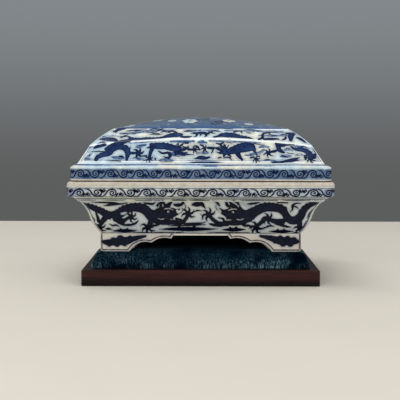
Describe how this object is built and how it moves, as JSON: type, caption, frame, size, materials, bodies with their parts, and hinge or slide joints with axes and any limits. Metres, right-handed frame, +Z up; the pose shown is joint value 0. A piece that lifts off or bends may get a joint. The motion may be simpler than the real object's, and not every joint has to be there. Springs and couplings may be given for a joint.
{
  "type": "ink stone and ink stick box",
  "caption": "Blue-and-white porcelain writing box with domed lift-off cover, ink stone and ink stick inside, on a velvet-topped wooden stand.",
  "frame": {"origin": "middle of the wooden stand's underside, on the table", "axes": "+X along the length to the right, -Y towards the front, +Z up"},
  "size_m": [0.3, 0.2, 0.191],
  "materials": {
    "rosewood": "dark polished",
    "plywood": "sawn, unpolished",
    "beech": "planed",
    "millboard": "raw board",
    "wadding": "cotton wadding",
    "velvet": "silk velvet pile",
    "porcelain_body": "painted under the glaze in cobalt blue, bare rim",
    "porcelain_cover": "painted under the glaze in cobalt blue",
    "slate": "fine honed",
    "ink_cake": "pressed soot and glue, satin black"
  },
  "bodies": {
    "stand": {"front_rail": "rosewood", "right_rail": "rosewood", "back_rail": "rosewood", "left_rail": "rosewood", "stand_panel": "plywood", "mitre_tongues": "beech", "pad_board": "millboard", "pad_wadding": "wadding", "velvet_cover": "velvet", "pad_pegs": "beech"},
    "box": {"box_body": "porcelain_body"},
    "cover": {"box_cover": "porcelain_cover"},
    "stone": {"ink_stone": "slate"},
    "stick": {"ink_stick": "ink_cake"}
  },
  "joints": [
    {"name": "box_lift", "type": "slide", "parent": "stand", "child": "box", "axis": [0, 0, 1], "range_m": [0, 0.08]},
    {"name": "cover_lift", "type": "slide", "parent": "box", "child": "cover", "axis": [0, 0, 1], "range_m": [0, 0.15]},
    {"name": "stone_lift", "type": "slide", "parent": "box", "child": "stone", "axis": [0, 0, 1], "range_m": [0, 0.06]},
    {"name": "stick_lift", "type": "slide", "parent": "box", "child": "stick", "axis": [0, 0, 1], "range_m": [0, 0.06]}
  ]
}
